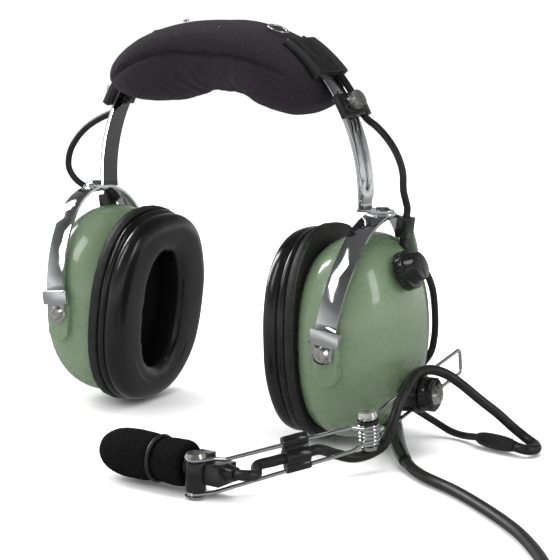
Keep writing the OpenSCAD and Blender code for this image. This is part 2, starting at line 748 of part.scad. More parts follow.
// Black clip that holds the cord between the two wires
module wire_clip() {
    pitch = asin(boom_way[2]);
    yaw = atan2(boom_way[1], boom_way[0]);
    color("#0d0d0f") place() difference() {
        translate(clip_mid) rotate([0, -pitch, yaw]) translate([-clip_l / 2, 0, 0]) rotate([90, 0, 90]) {
            translate([0, 6]) cylinder(r = 2.7, h = clip_l);
            translate([-1.8, -6]) cube([3.6, 12, clip_l]);
            translate([0, -cord_drop]) cylinder(r = 4, h = clip_l);
            translate([0, -6]) cylinder(r = 2.9, h = clip_l);
        }
        for (s = [-1, 1]) {
            leg = front_leg(s, coil_levels[s > 0 ? 4 : 0]);
            bar(leg[2], leg[3], wire_d / 2 + 0.06);
        }
        bar(clip_cord(-12), clip_cord(12), mic_d / 2);
    }
}
function clip_cord(out) = clip_mid + out * boom_way - [0, 0, cord_drop];

// ---- Microphone ----

module mic_pin() {
    color("silver") place() translate(mic_at) {
        translate([0, 0, -9]) cylinder(r = post_r, h = 18);
        translate([0, 0, eye_z + wire_d / 2 + 0.1]) difference() {
            cylinder(r1 = 5, r2 = 4.2, h = 1.9);
            for (a = [30, 120]) rotate([0, 0, a]) translate([-2, -0.4, 1.2]) cube([4, 0.8, 2]);
        }
        translate([0, 0, -9.8]) cylinder(r1 = 4.2, r2 = 5, h = 1);
    }
}

// Housing with a barrel on the pin, and the capsule's tube inside the windscreen
module mic_housing() {
    color("#15181a") place() translate(mic_at) difference() {
        union() {
            translate([0, 0, -barrel_h / 2]) cylinder(r = barrel_r, h = barrel_h);
            translate([-5, 0.5, -3.6]) cube([17.5, 13, 9]);
            translate([-7.5, 5.2, -4.2]) cube([8, 9, 12.2]);
            translate([-6, foam_y, foam_z]) rotate([0, -90, 0]) cylinder(r = 6, h = 28.7);
            translate([12, 7.6, 1.6]) rotate([0, 90, 0]) cylinder(r1 = 4.2, r2 = 3.2, h = 5);
        }
        translate([0, 0, -10]) cylinder(r = post_r + 0.06, h = 20);
    }
}

foam_x = mic_at[0] - 7.6;

// Foam windscreen: the profile runs from its open end to its rounded nose
module windscreen() {
    r = foam_d / 2;
    color("#111111") place() translate([foam_x, mic_at[1] + foam_y, mic_at[2] + foam_z]) rotate([0, -90, 0])
        rotate_extrude($fn = 64) polygon([
            [6.05, 0], [r - 3.2, 0], [r - 1.4, 1.2], [r - 0.8, 4], [r - 0.7, 8], [r - 1, 13], [r - 2, 16.2],
            [r - 2, 18.4], [r - 0.8, 20.4], [r - 0.1, 25], [r, 32], [r - 0.3, 38], [r - 1.6, 44],
            [r - 4, 48.4], [r - 7, foam_l - 0.8], [0, foam_l], [0, 27.2], [6.05, 27.2],
        ]);
}

module windscreen_ring() {
    color("#080808") place() translate([foam_x - 17.3, mic_at[1] + foam_y, mic_at[2] + foam_z])
        rotate([0, -90, 0]) torus(foam_d / 2 - 1, 0.95);
}

// ---- Cords ----

mic_exit = mic_at + [17, 7.6, 1.6];
front_route = [
    mic_exit, mic_exit + [1.5, 0, 0], mic_exit + [4.5, 1, 0], mic_exit + [6.5, 5.5, -0.5],
    clip_cord(-19), clip_cord(-12), clip_cord(-clip_l / 2), clip_cord(0),
];
// Round numbers in the headset's frame
bend_low = [121.6, -42, 13];
bend_top = [120.3, -7, 40.4];
// Directions of the cord at the two points where its pieces meet
low_way = unit([4, 9.5, 11.9]);
top_way = unit([0.8, 9.9, 0]);
plug_end = [160.5, 15.2, 4.2];
plug_tip = [137, 20.8, 4];
rear_route = [
    clip_cord(0), clip_cord(clip_l / 2), clip_cord(11), [109, -63.5, 10.5], [113, -55, 7.6],
    [117.5, -47.5, 8.6], bend_low - 1.5 * low_way, bend_low,
];
over_route = [
    bend_low, bend_low + 1.5 * low_way, [123.2, -38, 20.5],
    [123.2, -33, 28], [122.6, -25, 35], [121.2, -16, 39.3],
    bend_top - 1.5 * top_way, bend_top,
];
loop_route_mic = [
    bend_top, bend_top + 1.5 * top_way, [121.5, 1, 40], [125.5, 8.3, 37], [131.3, 14.3, 31],
    [138, 19.5, 23.8],
    [146, 25, 16], [152, 28, 10], [159, 29, 5.2], [165.5, 26.5, 3.2], [168.5, 21, 3], [167, 15.8, 3.4],
    [162.5, 14.7, 4], plug_end,
];
lead_route = [
    plug_tip, [132, 22.8, 3.2], [126, 25, 2.4], [118, 26.5, 3], [110, 25, 7], [103, 21, 12], [96, 16.5, 17],
    [90, 13, 20],
];
boot_route = [
    [90.5, 12.5, 15], [95, 7.5, 9.5], [101, 0, 6.8], [109, -10.5, 5.2], [118.5, -22.5, 4.2],
    [128, -33.5, 3.4],
];
main_route = [
    [128, -33.5, 3.4], [137, -41.5, 2.8], [147, -48.5, 2.7], [158, -54, 2.7], [169, -59.5, 2.7],
    [182, -67.5, 2.7], [196, -77, 2.7], [209, -86.5, 2.7], [221, -96.5, 2.7], [232, -107.5, 2.7],
    [243, -120, 2.7], [251, -131, 2.7], [257, -143, 2.7], [260.4, -155.5, 2.7],
];
coil_at = [297, -172, 0];
coil_ring = 29;

module mic_cord(route) {
    color("#151515") place() tube(route, mic_d);
}

// Moulded join of the microphone cord and the short lead
module inline_plug() {
    color("#121212") place() {
        difference() {
            union() {
                bar(plug_tip, plug_end, 3.9);
                bar(plug_tip + [5.5, -1.26, 0], plug_end - [5.5, -1.26, 0], 4);
            }
            tube(loop_route_mic, mic_d);
            tube(lead_route, thin_d);
        }
    }
}

module plug_lead() {
    color("#151515") place() tube(lead_route, thin_d);
}

// Flexible boot of the main cord
module cord_boot() {
    color("#0e0e0e") place() tube(boot_route, boot_d, main_d + 1, 12);
}

module main_cord() {
    color("#151515") place() tube(main_route, main_d);
}

// The rest of the main cord, coiled on the surface
module main_coil() {
    color("#151515") place() translate(coil_at) rotate_extrude($fn = 96)
        polygon([for (q = outline(8, 9, 2.8, 8.1, 16)) [coil_ring + q[0], q[1]]]);
}

// Plug at the end of the main cord
module phone_plug() {
    color("#1b1b1b") place() translate(coil_at + [coil_ring + 16, -20, 6]) rotate([-90, 0, 0]) {
        cylinder(r1 = 3.2, r2 = 5.6, h = 8);
        translate([0, 0, 7.9]) cylinder(r = 5.8, h = 26);
        translate([0, 0, 33.8]) cylinder(r = 3.5, h = 29);
    }
}

headband_strip();
head_pad();
pad_snaps();
sleeve(-1);  // sleeve_left
sleeve(1);  // sleeve_right
crossover_top();
arm(-1);  // arm_left
arm(1);  // arm_right
thumb_screw(-1);  // thumb_screw_left
thumb_screw(1);  // thumb_screw_right
cord_clamp(-1);  // cord_clamp_left
cord_clamp(1);  // cord_clamp_right
foot_rivet(-1);  // foot_rivet_left
foot_rivet(1);  // foot_rivet_right
stirrup(-1);  // stirrup_left
stirrup(1);  // stirrup_right
cord_clip(-1);  // cord_clip_left
cord_clip(1);  // cord_clip_right
crossover(-1);  // crossover_left
crossover(1);  // crossover_right
cup_cord(-1);  // cup_cord_left
cup_cord(1);  // cup_cord_right
pivot_screws(-1);  // pivot_screws_left
pivot_screws(1);  // pivot_screws_right
dome(-1);  // dome_left
dome(1);  // dome_right
seal_plate(-1);  // seal_plate_left
seal_plate(1);  // seal_plate_right
ear_seal(-1);  // ear_seal_left
ear_seal(1);  // ear_seal_right
ear_foam(-1);  // ear_foam_left
ear_foam(1);  // ear_foam_right
earphone(-1);  // earphone_left
earphone(1);  // earphone_right
volume_pot();
pot_shaft();
volume_knob();
boom_base();
boom_bolt();
boom_clamp();
clamp_knob();
rear_wire();
hinge_post();
friction_washer();
front_wire();
wire_clip();
mic_pin();
mic_housing();
windscreen();
windscreen_ring();
mic_cord(front_route);  // mic_cord_front
mic_cord(rear_route);  // mic_cord_rear
mic_cord(over_route);  // mic_cord_over
mic_cord(loop_route_mic);  // mic_cord_loop
inline_plug();
plug_lead();
cord_boot();
main_cord();
main_coil();
phone_plug();
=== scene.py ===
"""Visual model of an aviation headset: glossy domes, chromed hardware, padded band, boom microphone."""
import math
import bpy
import bmesh
import numpy as np
from mathutils import Matrix, Vector, noise


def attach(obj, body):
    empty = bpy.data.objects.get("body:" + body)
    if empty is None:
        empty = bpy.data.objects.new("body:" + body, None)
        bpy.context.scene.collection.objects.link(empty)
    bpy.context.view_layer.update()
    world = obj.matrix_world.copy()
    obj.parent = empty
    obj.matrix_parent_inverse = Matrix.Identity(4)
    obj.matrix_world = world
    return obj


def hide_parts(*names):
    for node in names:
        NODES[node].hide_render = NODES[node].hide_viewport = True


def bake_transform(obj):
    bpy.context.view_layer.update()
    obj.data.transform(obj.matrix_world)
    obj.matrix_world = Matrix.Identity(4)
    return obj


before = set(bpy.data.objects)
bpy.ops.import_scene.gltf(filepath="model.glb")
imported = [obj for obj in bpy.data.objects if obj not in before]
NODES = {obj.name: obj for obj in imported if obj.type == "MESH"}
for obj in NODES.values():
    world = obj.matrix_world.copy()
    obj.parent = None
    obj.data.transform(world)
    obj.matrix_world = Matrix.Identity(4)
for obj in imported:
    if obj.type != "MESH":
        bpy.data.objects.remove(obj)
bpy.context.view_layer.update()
scene = bpy.context.scene
MM = 0.001

# ---- Values of the CAD frame, in millimetres, measured from the middle of the headband ----
ORIGIN = (6, -39.5)
ARCH_R, ARCH_Z, STRIP_W, STRIP_T = 84, 122.6, 12, 0.9
STRIP_R0, STRIP_R1 = ARCH_R, ARCH_R + STRIP_T
PAD_END, SLEEVE_HIGH = 35.5, 60
PAD_W, PAD_H = 62, 37
PAD_HALF_SPAN = 90.5 - PAD_END
PLATE_TOP = 115.15
RIVET_X, PIVOT_IN, PIVOT_Z, PIVOT_Y = 93.5, 8.2, 52.3, 45.8
REACH = {1: 0, -1: -1.25}
TILT = {1: 1.2, -1: 6.2}
SWIVEL = 5.5
DOME_A, DOME_B, DOME_D, DOME_WALL = 51, 42.5, 27, 2.4
BULGE_U, RIM_U, PLATE_U, FACE_U = -3, -18, -22.8, -38
SEAL_A, SEAL_B, SEAL_MID, DOME_MID, DOME_LIFT = 54, 43.2, 2.3, 1.5, 0.15
OPEN_A, OPEN_B, OPEN_MID = 31.5, 17, 1.6
MIC_AT = (75.5, -126, 9.8)
FOAM_L, FOAM_D, FOAM_Y, FOAM_Z = 52, 22.6, 6, 2.6
MAIN_D, MIC_D, THIN_D, BOOT_D = 5.2, 5, 3.6, 10.4
SIDES = {"right": 1, "left": -1}


def at(p):
    """A point in millimetres from the middle of the headband, in the row frame in metres."""
    return Vector(((p[0] - ORIGIN[0]) * MM, (p[1] - ORIGIN[1]) * MM, p[2] * MM))


def move(x, y, z):
    return Matrix.Translation((x, y, z))


def turn(angle, axis):
    return Matrix.Rotation(math.radians(angle), 4, axis)


def slid_matrix(side):
    """Arm frame in millimetres to the row frame in metres."""
    place = Matrix.Scale(MM, 4) @ move(-ORIGIN[0], -ORIGIN[1], 0)
    mirror = Matrix.Diagonal((side, 1, 1, 1))
    return place @ mirror @ move(0, 0, ARCH_Z) @ turn(REACH[side], "Y") @ move(0, 0, -ARCH_Z)


def swivel_matrix(side):
    return slid_matrix(side) @ move(RIVET_X, 0, 0) @ turn(side * SWIVEL, "Z") @ move(-RIVET_X, 0, 0)


def cup_matrix(side):
    """Cup frame: X outwards along the cup's own axis, Y along its pivot axis."""
    return swivel_matrix(side) @ move(RIVET_X - PIVOT_IN, 0, PIVOT_Z) @ turn(-TILT[side], "Y")


# ---- Mesh helpers ----


def link(mesh_name, verts, faces, smooth=True):
    mesh = bpy.data.meshes.new(mesh_name)
    mesh.from_pydata([tuple(v) for v in verts], [], faces)
    bm = bmesh.new()
    bm.from_mesh(mesh)
    bmesh.ops.recalc_face_normals(bm, faces=bm.faces)
    bm.to_mesh(mesh)
    bm.free()
    if smooth:
        mesh.polygons.foreach_set("use_smooth", [True] * len(mesh.polygons))
    obj = bpy.data.objects.new(mesh_name, mesh)
    scene.collection.objects.link(obj)
    return obj


def skin(name, rings, matrix=None, closed=False, caps=True, smooth=True):
    """Skin through rings of points with the same count, capped or joined end to start."""
    n, m = len(rings[0]), len(rings)
    verts = [Vector(p) for ring in rings for p in ring]
    if matrix is not None:
        verts = [matrix @ v for v in verts]
    faces = []
    for k in range(m if closed else m - 1):
        for i in range(n):
            j = (i + 1) % n
            k2 = (k + 1) % m
            faces.append((k * n + i, k * n + j, k2 * n + j, k2 * n + i))
    if caps and not closed:
        faces.append(tuple(range(n)))
        faces.append(tuple((m - 1) * n + i for i in range(n)))
    return link(name, verts, faces, smooth)


def outline(a, b, p=2.35, mid=0.0, n=96):
    """Rounded upright outline, half-height a and half-width b, as (y, z) pairs."""
    points = []
    for i in range(n):
        t = 2 * math.pi * i / n
        c, s = math.cos(t), math.sin(t)
        y = b * math.copysign(abs(c) ** (2 / p), c)
        z = a * math.copysign(abs(s) ** (2 / p), s)
        points.append((y, mid + z))
    return points


def station(u, a, b, p, mid, n=96):
    return [(u, y, z) for y, z in outline(a, b, p, mid, n)]


def spline(points, step=1.5):
    """Points along a smooth line through the given ones, about one step apart."""
    pts = [Vector(p) for p in points]
    pts = [2 * pts[0] - pts[1]] + pts + [2 * pts[-1] - pts[-2]]
    line = []
    for i in range(1, len(pts) - 2):
        a, b, c, d = pts[i - 1:i + 3]
        t1 = max((b - a).length, 1e-6) ** 0.5
        t2 = t1 + max((c - b).length, 1e-6) ** 0.5
        t3 = t2 + max((d - c).length, 1e-6) ** 0.5
        count = max(2, int((c - b).length / step))
        for k in range(count):
            t = t1 + (t2 - t1) * k / count
            ab = a + (b - a) * (t / t1)
            bc = b + (c - b) * ((t - t1) / (t2 - t1))
            cd = c + (d - c) * ((t - t2) / (t3 - t2))
            abc = ab + (bc - ab) * (t / t2)
            bcd = bc + (cd - bc) * ((t - t1) / (t3 - t1))
            line.append(abc + (bcd - abc) * ((t - t1) / (t2 - t1)))
    line.append(pts[-2])
    return line


def tube(name, path, radius, sides=16):
    """Round tube along a path in metres. radius is one number, or one for each point."""
    radii = radius if isinstance(radius, list) else [radius] * len(path)
    rings = []
    way = (path[1] - path[0]).normalized()
    side = way.orthogonal().normalized()
    for i, p in enumerate(path):
        before, after = path[max(i - 1, 0)], path[min(i + 1, len(path) - 1)]
        way = (after - before).normalized()
        side = (side - way * side.dot(way)).normalized()
        up = way.cross(side)
        rings.append([p + radii[i] * (math.cos(2 * math.pi * k / sides) * side
                                      + math.sin(2 * math.pi * k / sides) * up) for k in range(sides)])
    return skin(name, rings)


def lathe(name, profile, matrix, n=48):
    """Profile of (radius, height) pairs turned round Z, then placed by the matrix."""
    rings = [[(r * math.cos(2 * math.pi * i / n), r * math.sin(2 * math.pi * i / n), h) for i in range(n)]
             for r, h in profile]
    return skin(name, rings, matrix)


def bake(obj):
    """Applies the modifiers to the mesh."""
    graph = bpy.context.evaluated_depsgraph_get()
    mesh = bpy.data.meshes.new_from_object(obj.evaluated_get(graph))
    obj.modifiers.clear()
    obj.data = mesh


def coords(obj):
    co = np.empty(len(obj.data.vertices) * 3)
    obj.data.vertices.foreach_get("co", co)
    return co.reshape(-1, 3)


def set_coords(obj, co):
    obj.data.vertices.foreach_set("co", co.ravel())
    obj.data.update()


def set_smooth(obj, angle=35):
    obj.data.polygons.foreach_set("use_smooth", [True] * len(obj.data.polygons))
    obj.data.set_sharp_from_angle(angle=math.radians(angle))


def smoothstep(x):
    x = min(1.0, max(0.0, x))
    return x * x * (3 - 2 * x)


# ---- Materials ----


class Finish:
    """A Principled material with procedural layers. Scales are in features per metre."""

    def __init__(self, name, colour, rough, metallic=0.0, specular=0.5, coat=0.0, coat_rough=0.05, sheen=0.0):
        self.mat = bpy.data.materials.new(name)
        self.mat.use_nodes = True
        self.tree = self.mat.node_tree
        self.shader = self.tree.nodes["Principled BSDF"]
        ins = self.shader.inputs
        ins["Base Color"].default_value = (*colour, 1)
        ins["Roughness"].default_value = rough
        ins["Metallic"].default_value = metallic
        ins["Specular IOR Level"].default_value = specular
        ins["Coat Weight"].default_value = coat
        ins["Coat Roughness"].default_value = coat_rough
        ins["Sheen Weight"].default_value = sheen
        self.mat.diffuse_color = (*colour, 1)
        self.coord = self.tree.nodes.new("ShaderNodeTexCoord").outputs["Object"]
        self.normal = None

    def new(self, kind, **values):
        node = self.tree.nodes.new(kind)
        for key, value in values.items():
            if key in node.inputs:
                node.inputs[key].default_value = value
            else:
                setattr(node, key, value)
        return node

    def wire(self, a, b):
        self.tree.links.new(a, b)

    def noise(self, scale, detail=3.0, rough=0.5, stretch=None):
        node = self.new("ShaderNodeTexNoise", Scale=scale, Detail=detail, Roughness=rough)
        source = self.coord
        if stretch:
            mapping = self.new("ShaderNodeMapping", Scale=stretch)
            self.wire(source, mapping.inputs["Vector"])
            source = mapping.outputs["Vector"]
        self.wire(source, node.inputs["Vector"])
        return node.outputs["Fac"]

    def cells(self, scale, feature="F1"):
        node = self.new("ShaderNodeTexVoronoi", Scale=scale, feature=feature)
        self.wire(self.coord, node.inputs["Vector"])
        return node.outputs["Distance"]

    def weave(self, scale):
        """Diagonal ribs, bent a little by noise."""
        node = self.new("ShaderNodeTexWave", Scale=scale, Distortion=1.5, Detail=1.0, wave_type="BANDS")
        node.bands_direction = "DIAGONAL"
        self.wire(self.coord, node.inputs["Vector"])
        return node.outputs["Fac"]

    def ramp(self, value, stops):
        node = self.new("ShaderNodeValToRGB")
        elements = node.color_ramp.elements
        for element, (place, _) in zip(elements, stops):
            element.position = place
        for place, _ in stops[2:]:
            elements.new(place)
        for element, (_, colour) in zip(elements, stops):
            element.color = (*colour, 1)
        self.wire(value, node.inputs["Fac"])
        return node.outputs["Color"]

    def colour(self, value, stops):
        self.wire(self.ramp(value, stops), self.shader.inputs["Base Color"])

    def blend_colour(self, under, over, mask):
        node = self.new("ShaderNodeMix", data_type="RGBA")
        self.wire(mask, node.inputs[0])
        self.wire(under, node.inputs[6])
        self.wire(over, node.inputs[7])
        self.wire(node.outputs[2], self.shader.inputs["Base Color"])

    def roughness(self, value, low, high):
        node = self.new("ShaderNodeMapRange")
        node.inputs["To Min"].default_value = low
        node.inputs["To Max"].default_value = high
        node.inputs["From Min"].default_value = 0.3
        node.inputs["From Max"].default_value = 0.7
        self.wire(value, node.inputs["Value"])
        self.wire(node.outputs["Result"], self.shader.inputs["Roughness"])

    def bump(self, value, distance, strength=1.0):
        node = self.new("ShaderNodeBump", Strength=strength, Distance=distance)
        self.wire(value, node.inputs["Height"])
        if self.normal is not None:
            self.wire(self.normal, node.inputs["Normal"])
        self.normal = node.outputs["Normal"]
        self.wire(self.normal, self.shader.inputs["Normal"])


def grey(v):
    return (v, v, v)


def make_chrome():
    f = Finish("chrome", (0.78, 0.79, 0.8), 0.06, metallic=1.0)
    f.colour(f.noise(40, 2), [(0.3, (0.70, 0.71, 0.72)), (0.7, (0.82, 0.83, 0.84))])
    f.roughness(f.noise(120, 4), 0.04, 0.13)
    f.bump(f.noise(900, 2, stretch=(1, 1, 0.08)), 0.000002)
    return f.mat


def make_nickel():
    f = Finish("nickel", (0.66, 0.66, 0.65), 0.2, metallic=1.0)
    f.colour(f.noise(300, 3), [(0.3, (0.70, 0.69, 0.67)), (0.7, (0.86, 0.85, 0.83))])
    f.roughness(f.noise(500, 4), 0.14, 0.32)
    f.bump(f.noise(2200, 2), 0.000012)
    return f.mat


def make_dome():
    f = Finish("dome_green", (0.30, 0.37, 0.26), 0.34, coat=0.85, coat_rough=0.05)
    f.colour(f.noise(35, 4, 0.6), [(0.3, (0.120, 0.175, 0.103)), (0.7, (0.130, 0.189, 0.113))])
    f.roughness(f.noise(250, 4), 0.22, 0.34)
    f.bump(f.noise(45, 2), 0.00012)
    f.bump(f.noise(1400, 2), 0.000006)
    return f.mat


def make_vinyl():
    f = Finish("seal_vinyl", (0.012, 0.012, 0.013), 0.2, coat=0.2, coat_rough=0.08, specular=0.5)
    f.colour(f.noise(60, 3), [(0.3, (0.0045, 0.0045, 0.005)), (0.7, (0.008, 0.008, 0.0085))])
    f.roughness(f.noise(260, 4), 0.16, 0.27)
    f.bump(f.cells(2600), 0.00001)
    f.bump(f.noise(110, 2), 0.00006)
    return f.mat


def make_matte_black(name="matte_black", low=0.42, high=0.6):
    f = Finish(name, grey(0.016), 0.5)
    f.colour(f.noise(220, 4), [(0.3, grey(0.006)), (0.7, grey(0.013))])
    f.roughness(f.noise(500, 3), low, high)
    f.bump(f.cells(1900), 0.00003)
    return f.mat


def make_gloss_black():
    f = Finish("gloss_black", grey(0.012), 0.16, coat=0.25, coat_rough=0.06)
    f.colour(f.noise(160, 3), [(0.3, grey(0.004)), (0.7, grey(0.009))])
    f.roughness(f.noise(420, 4), 0.12, 0.26)
    f.bump(f.noise(1600, 2), 0.000012)
    return f.mat


def make_cord_rubber():
    f = Finish("cord_rubber", grey(0.014), 0.36)
    f.colour(f.noise(260, 4), [(0.3, grey(0.005)), (0.7, grey(0.012))])
    f.roughness(f.noise(700, 3), 0.30, 0.46)
    f.bump(f.noise(1500, 3), 0.00003)
    return f.mat


def make_jersey():
    f = Finish("pad_jersey", (0.03, 0.026, 0.032), 0.92, specular=0.12, sheen=0.02)
    under = f.ramp(f.noise(1300, 3, 0.7), [(0.3, (0.006, 0.005, 0.0064)), (0.7, (0.023, 0.019, 0.024))])
    lint = f.ramp(f.cells(150), [(0.035, grey(1.0)), (0.05, grey(0.0))])
    pale = f.ramp(f.noise(30, 1), [(0.0, grey(0.30)), (1.0, grey(0.34))])
    gate = f.new("ShaderNodeMath", operation="MULTIPLY")
    f.wire(lint, gate.inputs[0])
    f.wire(f.ramp(f.noise(90, 1), [(0.60, grey(0.0)), (0.66, grey(1.0))]), gate.inputs[1])
    f.blend_colour(under, pale, gate.outputs[0])
    f.roughness(f.noise(900, 2), 0.85, 0.98)
    f.bump(f.weave(420), 0.00012)
    f.bump(f.noise(1700, 3), 0.00014)
    return f.mat


def make_foam():
    f = Finish("windscreen_foam", grey(0.012), 0.95, specular=0.05)
    f.colour(f.cells(1500), [(0.1, grey(0.0008)), (0.6, grey(0.006))])
    f.roughness(f.noise(900, 2), 0.88, 0.99)
    f.bump(f.cells(1350), 0.00035)
    f.bump(f.noise(600, 3), 0.0003)
    return f.mat


def make_plated():
    f = Finish("component_metal", (0.45, 0.44, 0.40), 0.4, metallic=0.9)
    f.colour(f.noise(300, 3), [(0.3, (0.34, 0.33, 0.30)), (0.7, (0.50, 0.49, 0.45))])
    f.roughness(f.noise(600, 3), 0.3, 0.5)
    f.bump(f.noise(1800, 2), 0.00002)
    return f.mat


CHROME, NICKEL, DOME = make_chrome(), make_nickel(), make_dome()
VINYL, MATTE, GLOSS = make_vinyl(), make_matte_black(), make_gloss_black()
RUBBER, JERSEY, FOAM, PLATED = make_cord_rubber(), make_jersey(), make_foam(), make_plated()
SLEEVE = make_matte_black("sleeve_rubber", 0.30, 0.44)


def paint(obj, material):
    obj.data.materials.clear()
    obj.data.materials.append(material)
    return obj


def finish_cad(material, names, bevel=0.0, angle=35):
    for name in names:
        obj = NODES[name]
        obj.data.materials.clear()
        obj.data.materials.append(material)
        set_smooth(obj, angle)
        if bevel:
            weld = obj.modifiers.new("Weld", "WELD")
            weld.merge_threshold = 0.000004
            edge = obj.modifiers.new("Bevel", "BEVEL")
            edge.width = bevel * MM
            edge.segments = 2
            edge.limit_method = "ANGLE"
            edge.angle_limit = math.radians(angle)
            edge.harden_normals = True
            edge.use_clamp_overlap = True


def both(*stems):
    return [f"{stem}_{side}" for stem in stems for side in SIDES]


finish_cad(CHROME, ["headband_strip", *both("arm", "stirrup", "foot_rivet")], bevel=0.15)
finish_cad(NICKEL, [*both("thumb_screw", "pivot_screws"), "boom_bolt", "hinge_post", "mic_pin", "pot_shaft",
                    "pad_snaps"])
finish_cad(CHROME, ["rear_wire", "front_wire"])
finish_cad(GLOSS, [*both("cord_clip", "cord_clamp"), "boom_base", "wire_clip", "volume_knob", "boom_clamp",
                   "clamp_knob", "mic_housing"], bevel=0.25)
finish_cad(SLEEVE, [*both("sleeve"), "friction_washer", "windscreen_ring"], bevel=0.2)
finish_cad(MATTE, both("seal_plate"))
finish_cad(PLATED, [*both("earphone"), "volume_pot"])

# ---- Camera ----
AZ, EL, ROLL = math.radians(35.8), math.radians(9.76), math.radians(-0.36)
CAMERA_TARGET = Vector((0.02557, 0.0395, 0.07592))
CAMERA_DISTANCE = 0.85027
back = Vector((math.sin(AZ) * math.cos(EL), -math.cos(AZ) * math.cos(EL), math.sin(EL)))
level = Vector((math.cos(AZ), math.sin(AZ), 0))
upright = back.cross(level)
cam_x = level * math.cos(ROLL) + upright * math.sin(ROLL)
cam_y = -level * math.sin(ROLL) + upright * math.cos(ROLL)
camera = bpy.data.objects.new("camera", bpy.data.cameras.new("camera"))
camera.data.lens = 106.27
camera.data.sensor_width = 36
camera.data.clip_start, camera.data.clip_end = 0.05, 50
spot = CAMERA_TARGET + back * CAMERA_DISTANCE
camera.matrix_world = Matrix((
    (cam_x.x, cam_y.x, back.x, spot.x), (cam_x.y, cam_y.y, back.y, spot.y),
    (cam_x.z, cam_y.z, back.z, spot.z), (0, 0, 0, 1)))
scene.collection.objects.link(camera)
scene.camera = camera

# ---- Cords ----


def unit(v):
    return v / v.length


def turned(p, a):
    c, s = math.cos(math.radians(a)), math.sin(math.radians(a))
    return Vector((p[0] * c + p[2] * s, p[1], p[2] * c - p[0] * s))


def cup_to_headset(p):
    """A point of the right cup's own frame, in millimetres from the middle of the headband."""
    q = turned(p, -TILT[1])
    x = q[0] - PIVOT_IN
    c, s = math.cos(math.radians(SWIVEL)), math.sin(math.radians(SWIVEL))
    return Vector((RIVET_X + x * c - q[1] * s, x * s + q[1] * c, PIVOT_Z + q[2]))


BOOM_AT, BOOM_SLOPE, LEG_FRONT = (28.4, -2, -25.3), math.radians(7), 53
hinge_mid = cup_to_headset((BOOM_AT[0], BOOM_AT[1] - LEG_FRONT * math.cos(BOOM_SLOPE),
                            BOOM_AT[2] - LEG_FRONT * math.sin(BOOM_SLOPE)))
mic_at = Vector(MIC_AT)
boom_way = unit(hinge_mid - mic_at)
boom_side = unit(boom_way.cross(Vector((0, 0, 1))))
CLIP_SHARE, CLIP_L, CORD_DROP = 0.45, 12, 1.4
clip_mid = hinge_mid * (1 - CLIP_SHARE) + mic_at * CLIP_SHARE + 3.8 * boom_side


def clip_cord(out):
    return clip_mid + out * boom_way - Vector((0, 0, CORD_DROP))


mic_exit = mic_at + Vector((17, 7.6, 1.6))
BEND_LOW, BEND_TOP = Vector((121.6, -42, 13)), Vector((120.3, -7, 40.4))
LOW_WAY, TOP_WAY = unit(Vector((4, 9.5, 11.9))), unit(Vector((0.8, 9.9, 0)))
PLUG_END, PLUG_TIP = (160.5, 15.2, 4.2), (137, 20.8, 4)
MIC_ROUTE = [
    [mic_exit, mic_exit + Vector((1.5, 0, 0)), mic_exit + Vector((4.5, 1, 0)),
     mic_exit + Vector((6.5, 5.5, -0.5)), clip_cord(-19), clip_cord(-12),
     clip_cord(-CLIP_L / 2), clip_cord(0)],
    [clip_cord(0), clip_cord(CLIP_L / 2), clip_cord(11), (109, -63.5, 10.5), (113, -55, 7.6),
     (117.5, -47.5, 8.6), BEND_LOW - 1.5 * LOW_WAY, BEND_LOW],
    [BEND_LOW, BEND_LOW + 1.5 * LOW_WAY, (123.2, -38, 20.5), (123.2, -33, 28), (122.6, -25, 35),
     (121.2, -16, 39.3), BEND_TOP - 1.5 * TOP_WAY, BEND_TOP],
    [BEND_TOP, BEND_TOP + 1.5 * TOP_WAY, (121.5, 1, 40), (125.5, 8.3, 37), (131.3, 14.3, 31),
     (138, 19.5, 23.8),
     (146, 25, 16), (152, 28, 10), (159, 29, 5.2), (165.5, 26.5, 3.2), (168.5, 21, 3), (167, 15.8, 3.4),
     (162.5, 14.7, 4), PLUG_END],
]
LEAD_ROUTE = [PLUG_TIP, (132, 22.8, 3.2), (126, 25, 2.4), (118, 26.5, 3), (110, 25, 7), (103, 21, 12),
              (96, 16.5, 17), (90, 13, 20)]
BOOT_ROUTE = [(90.5, 12.5, 15), (95, 7.5, 9.5), (101, 0, 6.8), (109, -10.5, 5.2), (118.5, -22.5, 4.2),
              (128, -33.5, 3.4)]
MAIN_ROUTE = [
    (128, -33.5, 3.4), (137, -41.5, 2.8), (147, -48.5, 2.7), (158, -54, 2.7), (169, -59.5, 2.7),
    (182, -67.5, 2.7), (196, -77, 2.7), (209, -86.5, 2.7), (221, -96.5, 2.7), (232, -107.5, 2.7),
    (243, -120, 2.7), (251, -131, 2.7),
    (257, -143, 2.7), (260.4, -155.5, 2.7)]
COIL_AT, COIL_RING = (297, -172, 0), 29
PLUG_AT = (COIL_AT[0] + COIL_RING + 16, COIL_AT[1] - 20, 6)


def free_cord(name, path, diameter, nodes, body=None, blend=None):
    """A cord as a tube. blend is (body before, body after, start, end); its values are not used, and when it
    is given the tube is baked in place instead of attached to a body.
    """
    obj = paint(tube(name, path, diameter / 2 * MM), RUBBER)
    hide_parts(*nodes)
    if blend:
        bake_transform(obj)
    else:
        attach(obj, body)
    return obj


